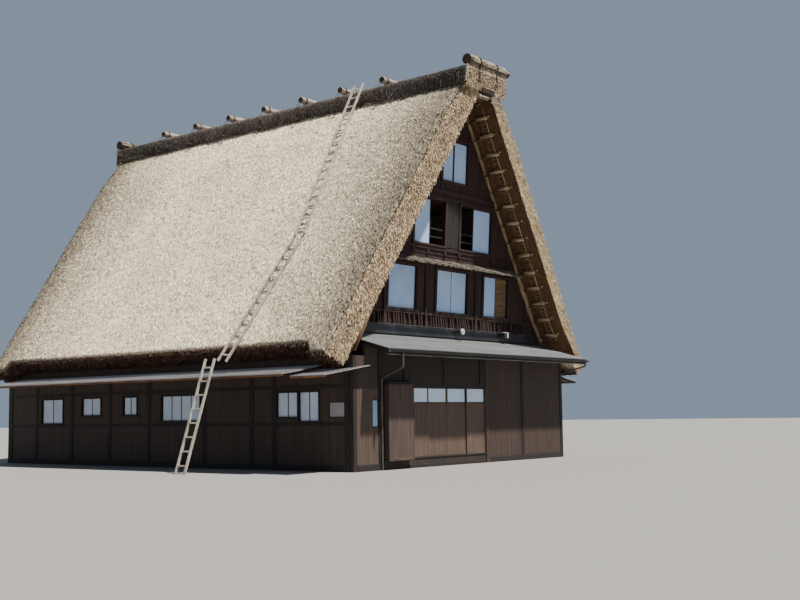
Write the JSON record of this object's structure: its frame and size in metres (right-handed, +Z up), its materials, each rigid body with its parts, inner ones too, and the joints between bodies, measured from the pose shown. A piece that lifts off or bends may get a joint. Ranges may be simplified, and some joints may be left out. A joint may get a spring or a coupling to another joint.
{
  "type": "minka farmhouse",
  "caption": "Steep thatched farmhouse with leaning board gables, paper screens, lean-to roofs, sliding board doors and ladders on the roof.",
  "frame": {"origin": "on the ground, at the middle of everything built; the ridge stands 474 mm to its +X side, because the leaning ladder reaches further out on the -X side", "axes": "+Z up, +Y along the ridge towards the back gable, +X to the right seen from the front gable with the doors"},
  "size_m": [16.2482, 17.8886, 12.53],
  "materials": {
    "thatch": "weathered miscanthus thatch, matt",
    "ridge_thatch": "dark weathered ridge thatch, matt",
    "pole_wood": "bare poles, smoke stained",
    "sheet_roof": "grey-green painted sheet, dull",
    "dark_boards": "dark weathered boards, matt",
    "door_boards": "brown boards, matt",
    "gable_boards": "dark reddish-brown boards, matt",
    "paper": "white screen paper, matt",
    "ochre_boards": "ochre plank, matt",
    "floor_boards": "worn floor boards",
    "grey_wood": "silver-grey weathered wood",
    "dark_metal": "dark painted sheet, satin",
    "pale_metal": "pale painted metal, satin"
  },
  "bodies": {
    "house": {"left_thatch": "thatch", "right_thatch": "thatch", "ridge_cap": "ridge_thatch", "front_left_verge_frame": "pole_wood", "front_right_verge_frame": "pole_wood", "back_left_verge_frame": "pole_wood", "back_right_verge_frame": "pole_wood", "front_lean_to_roof": "sheet_roof", "back_lean_to_roof": "sheet_roof", "left_aisle_roof": "sheet_roof", "right_aisle_roof": "sheet_roof", "left_porch_roof": "sheet_roof", "front_wall_left": "dark_boards", "narrow_front_pane": "paper", "front_wall": "dark_boards", "front_wall_over_doors": "dark_boards", "door_head": "dark_boards", "door_sill": "dark_boards", "shutter_box": "door_boards", "left_wall": "dark_boards", "left_sashes": "paper", "right_wall": "dark_boards", "right_sashes": "paper", "right_return_wall": "dark_boards", "back_wall": "dark_boards", "back_sashes": "paper", "ground_floor": "floor_boards", "front_gable_beam": "dark_boards", "back_gable_beam": "dark_boards", "attic_floor_low": "floor_boards", "attic_floor_middle": "floor_boards", "attic_floor_top": "floor_boards", "front_gable_wall": "gable_boards", "back_gable_wall": "gable_boards", "front_top_screen": "paper", "front_middle_left_screen": "paper", "front_middle_right_screen": "paper", "front_low_left_screen": "paper", "front_low_middle_screen": "paper", "front_low_right_screen": "paper", "front_ochre_panel": "ochre_boards", "back_top_screen": "paper", "back_middle_screens": "paper", "back_low_screens": "paper", "front_pent_roof": "grey_wood", "back_pent_roof": "grey_wood", "front_flashing": "dark_metal", "floodlight_left": "pale_metal", "floodlight_right": "pale_metal", "front_gutter": "dark_metal", "front_corner_pipe": "dark_metal", "front_right_pipe": "dark_metal", "back_gutter": "dark_metal", "roof_ladder_upper": "grey_wood", "roof_ladder_lower": "grey_wood", "leaning_ladder": "grey_wood"},
    "leaf_1": {"door_leaf_1": "door_boards"},
    "leaf_2": {"door_leaf_2": "door_boards"},
    "leaf_3": {"door_leaf_3": "door_boards"},
    "leaf_4": {"door_leaf_4": "door_boards"}
  },
  "joints": [
    {"name": "leaf_1_slide", "type": "slide", "parent": "house", "child": "leaf_1", "axis": [1, 0, 0], "range_m": [0, 0.945]},
    {"name": "leaf_2_slide", "type": "slide", "parent": "house", "child": "leaf_2", "axis": [1, 0, 0], "range_m": [-0.945, 0]},
    {"name": "leaf_3_slide", "type": "slide", "parent": "house", "child": "leaf_3", "axis": [1, 0, 0], "range_m": [0, 0.945]},
    {"name": "leaf_4_slide", "type": "slide", "parent": "house", "child": "leaf_4", "axis": [1, 0, 0], "range_m": [-0.945, 0]}
  ]
}
